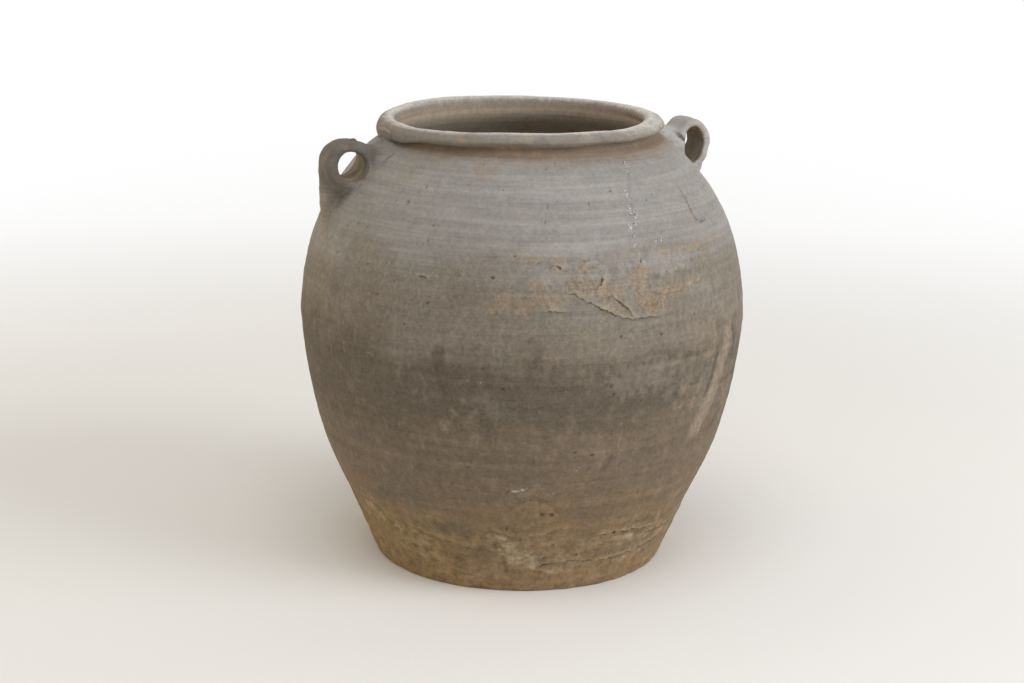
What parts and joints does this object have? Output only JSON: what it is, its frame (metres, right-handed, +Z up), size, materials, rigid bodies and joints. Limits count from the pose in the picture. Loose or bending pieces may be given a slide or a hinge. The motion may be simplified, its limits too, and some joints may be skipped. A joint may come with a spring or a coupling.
{
  "type": "handled jar",
  "caption": "Hand-built unglazed clay storage jar with a narrow foot, swelling belly, wide mouth with a rolled lip, and pierced lugs on the shoulder for a cord.",
  "frame": {"origin": "centre of the flat underside, on the surface the jar stands on", "axes": "+Z up along the jar's axis, -X towards the left lug, which is the one with the wide round eye"},
  "size_m": [0.3, 0.3, 0.3017],
  "materials": {
    "foot_clay": "unglazed, rough and earth-stained",
    "belly_clay": "unglazed, mottled brown-grey",
    "shoulder_clay": "unglazed, cool grey with fine turning lines",
    "neck_clay": "unglazed, brown in the groove",
    "lip_clay": "unglazed, worn pale on the crest",
    "lug_clay": "unglazed, dark grey, smeared by hand"
  },
  "bodies": {
    "root": {"base_slab": "foot_clay", "foot_wall": "foot_clay", "lower_wall": "belly_clay", "shoulder_wall": "shoulder_clay", "neck_collar": "neck_clay", "rim_roll": "lip_clay", "left_lug": "lug_clay", "right_lug": "lug_clay"}
  },
  "joints": []
}
